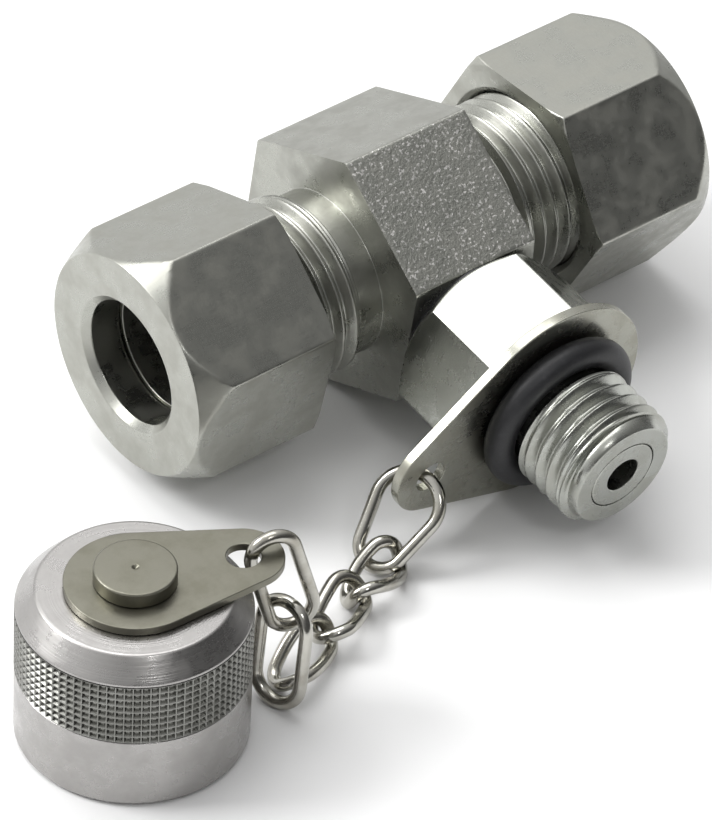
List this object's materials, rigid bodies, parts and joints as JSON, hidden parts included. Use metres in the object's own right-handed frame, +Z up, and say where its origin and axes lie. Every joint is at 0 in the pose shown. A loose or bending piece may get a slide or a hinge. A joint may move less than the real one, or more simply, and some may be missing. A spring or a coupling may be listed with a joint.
{
  "type": "test point coupling",
  "caption": "Straight hydraulic tube coupling with hexagon body and union nuts, a side test connection with seal ring, and a knurled screw cap on a link chain.",
  "frame": {"origin": "on the surface it lies on, under the middle of the whole part with the cap laid beside it", "axes": "+X along the tube run towards the right-hand nut, +Z up from the surface; the test connection points along -Y and droops by 7.5 degrees"},
  "size_m": [0.0908, 0.0502, 0.0275],
  "materials": {
    "zinc_steel": "zinc plated, satin",
    "lug_steel": "zinc plated sheet",
    "strap_steel": "yellowish zinc sheet",
    "chain_steel": "bright nickel plate",
    "cap_steel": "satin zinc plate, turned",
    "spring_steel": "drawn wire",
    "seal_rubber": "matte black"
  },
  "bodies": {
    "base": {"coupling_body": "zinc_steel", "port_seal": "seal_rubber", "test_body": "zinc_steel", "probe_insert": "zinc_steel", "valve_seat": "seal_rubber", "valve_spring": "spring_steel", "cap_seal_ring": "seal_rubber"},
    "left_ring": {"left_cutting_ring": "zinc_steel"},
    "left_nut": {"left_nut": "zinc_steel"},
    "right_ring": {"right_cutting_ring": "zinc_steel"},
    "right_nut": {"right_nut": "zinc_steel"},
    "valve_ball": {"valve_ball": "spring_steel"},
    "lug": {"tether_lug": "lug_steel"},
    "link_1": {"chain_link_1": "chain_steel"},
    "link_2": {"chain_link_2": "chain_steel"},
    "link_3": {"chain_link_3": "chain_steel"},
    "link_4": {"chain_link_4": "chain_steel"},
    "link_5": {"chain_link_5": "chain_steel"},
    "link_6": {"chain_link_6": "chain_steel"},
    "strap": {"cap_strap": "strap_steel"},
    "cap": {"screw_cap": "cap_steel", "cap_rivet": "strap_steel"}
  },
  "joints": [
    {"name": "left_ring_slide", "type": "slide", "parent": "base", "child": "left_ring", "axis": [-1, 0, 0], "range_m": [0, 0.006]},
    {"name": "left_nut_turn", "type": "hinge", "parent": "left_ring", "child": "left_nut", "pos_m": [-0.00806, 0.01233, 0.01374], "axis": [-1, 0, 0], "range_deg": [0, 1440]},
    {"name": "right_ring_slide", "type": "slide", "parent": "base", "child": "right_ring", "axis": [1, 0, 0], "range_m": [0, 0.006]},
    {"name": "right_nut_turn", "type": "hinge", "parent": "right_ring", "child": "right_nut", "pos_m": [0.03794, 0.01233, 0.01374], "axis": [1, 0, 0], "range_deg": [0, 1440]},
    {"name": "valve_ball_slide", "type": "slide", "parent": "base", "child": "valve_ball", "axis": [0, 0.9914, 0.1305], "range_m": [0, 0.0015], "stiffness_N_per_m": 200, "springref_m": -0.002, "deforming": ["valve_spring"]},
    {"name": "lug_turn", "type": "hinge", "parent": "base", "child": "lug", "pos_m": [0.01494, -0.01097, 0.01067], "axis": [0, -0.9914, -0.1305], "continuous": true},
    {"name": "link_1_swing", "type": "hinge", "parent": "lug", "child": "link_1", "pos_m": [0.00119, -0.01072, 0.00805], "axis": [0.6464, 0.3802, -0.6615], "range_deg": [-10, 10]},
    {"name": "link_2_swing", "type": "hinge", "parent": "link_1", "child": "link_2", "pos_m": [-0.00543, -0.0114, 0.00119], "axis": [-0.32, 0.9221, 0.2174], "range_deg": [0, 12]},
    {"name": "link_3_swing", "type": "hinge", "parent": "link_2", "child": "link_3", "pos_m": [-0.01012, -0.01467, 0.00177], "axis": [0.1506, -0.4563, 0.877], "range_deg": [-10, 10]},
    {"name": "link_4_swing", "type": "hinge", "parent": "link_3", "child": "link_4", "pos_m": [-0.01559, -0.01758, 0.00224], "axis": [0.4373, -0.7525, 0.4924], "range_deg": [-10, 10]},
    {"name": "link_5_swing", "type": "hinge", "parent": "link_4", "child": "link_5", "pos_m": [-0.02176, -0.01945, 0.00123], "axis": [0.2383, -0.7721, 0.5891], "range_deg": [-10, 10]},
    {"name": "link_6_swing", "type": "hinge", "parent": "link_5", "child": "link_6", "pos_m": [-0.0213, -0.01891, 0.01055], "axis": [0.2244, -0.9711, 0.0818], "range_deg": [-10, 4]},
    {"name": "strap_swing", "type": "hinge", "parent": "link_6", "child": "strap", "pos_m": [-0.02325, -0.01829, 0.0185], "axis": [0.9174, -0.2876, 0.275], "range_deg": [-8, 8]},
    {"name": "cap_turn", "type": "hinge", "parent": "strap", "child": "cap", "pos_m": [-0.03494, -0.01463, 0.01635], "axis": [0, 0, 1], "continuous": true}
  ],
  "couplings": [
    {"joint": "left_ring_slide", "follows": "left_nut_turn", "m_per_rad": 0.00023873},
    {"joint": "right_ring_slide", "follows": "right_nut_turn", "m_per_rad": 0.00023873}
  ]
}
